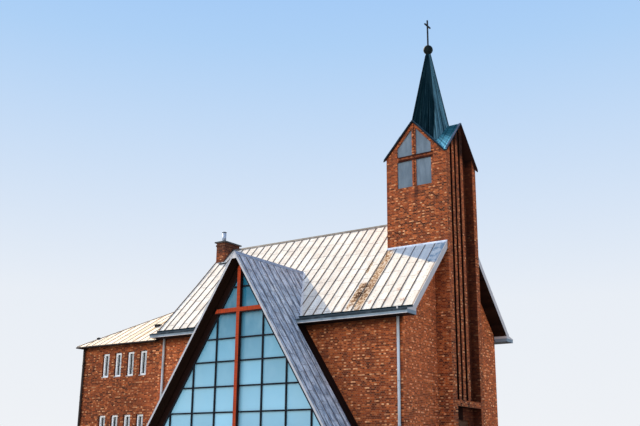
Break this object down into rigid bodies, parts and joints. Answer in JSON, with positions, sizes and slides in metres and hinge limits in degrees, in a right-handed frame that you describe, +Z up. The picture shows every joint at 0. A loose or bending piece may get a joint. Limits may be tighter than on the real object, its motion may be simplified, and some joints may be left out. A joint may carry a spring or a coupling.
{
  "type": "brick church building",
  "caption": "Brick church with a steep metal-roofed nave, a gabled tower with an octagonal spire, glazed A-frame transepts and a lower two-storey wing.",
  "frame": {"origin": "centre of the bounding box on the ground", "axes": "+X along the nave towards the tower, +Y across the nave towards the far transept, +Z up; the picture looks from the -Y side"},
  "size_m": [23.02, 16.72, 25.05],
  "materials": {
    "brick": "matt red-brown brick in pale mortar",
    "concrete": "matt",
    "roof_metal": "weathered cream-white standing seam sheet",
    "eaves_paint": "satin light blue-grey",
    "pipe_metal": "dull galvanised grey",
    "dark_lining": "dark stained boards",
    "frame_red": "red-brown painted timber",
    "frame_dark": "near-black satin",
    "glass": "clear, blue-green cast",
    "tower_metal": "dark teal-green sheet, streaked",
    "cross_metal": "near-black satin",
    "panel": "grey-blue ribbed panel",
    "white_frame": "white window frame, glass pane in it",
    "chimney_concrete": "sooty concrete",
    "steel": "dull stainless",
    "door_wood": "dark stained timber"
  },
  "bodies": {
    "root": {"ground_floor_slab": "concrete", "nave_wall_near_back": "brick", "nave_wall_near_front": "brick", "nave_wall_far_back": "brick", "nave_wall_far_front": "brick", "nave_back_wall": "brick", "nave_front_wall_near": "brick", "nave_front_wall_far": "brick", "nave_roof_near": "roof_metal", "nave_roof_far": "roof_metal", "nave_ridge_cap": "roof_metal", "nave_eaves_near_back": "eaves_paint", "nave_eaves_near_front": "eaves_paint", "nave_eaves_far_back": "eaves_paint", "nave_eaves_far_front": "eaves_paint", "transept_near_roof_back": "roof_metal", "transept_near_roof_front": "roof_metal", "transept_near_lining_back": "dark_lining", "transept_near_lining_front": "dark_lining", "transept_near_ridge_cap": "roof_metal", "transept_near_glass": "glass", "transept_near_window_frame": "frame_dark", "transept_near_cross": "frame_red", "transept_far_roof_back": "roof_metal", "transept_far_roof_front": "roof_metal", "transept_far_lining_back": "dark_lining", "transept_far_lining_front": "dark_lining", "transept_far_ridge_cap": "roof_metal", "transept_far_glass": "glass", "transept_far_window_frame": "frame_dark", "transept_far_cross": "frame_red", "tower_wall_near": "brick", "tower_wall_far": "brick", "tower_wall_front": "brick", "tower_wall_back": "brick", "tower_window_panel_near": "panel", "tower_window_panel_far": "panel", "entrance_door": "door_wood", "tower_roof": "tower_metal", "tower_spire": "tower_metal", "spire_ball": "tower_metal", "spire_cross": "cross_metal", "chimney_stack": "brick", "chimney_cap": "chimney_concrete", "chimney_flue": "steel", "wing_wall_near": "brick", "wing_wall_far": "brick", "wing_wall_end": "brick", "wing_upper_floor": "concrete", "wing_roof": "roof_metal", "wing_windows_near_upper": "white_frame", "wing_windows_near_lower": "white_frame", "wing_windows_far_upper": "white_frame", "wing_windows_far_lower": "white_frame", "downpipe_nave_front_near": "pipe_metal", "downpipe_nave_front_far": "pipe_metal", "downpipe_nave_back_near": "pipe_metal", "downpipe_nave_back_far": "pipe_metal", "downpipe_wing_near": "pipe_metal", "downpipe_wing_far": "pipe_metal"}
  },
  "joints": []
}
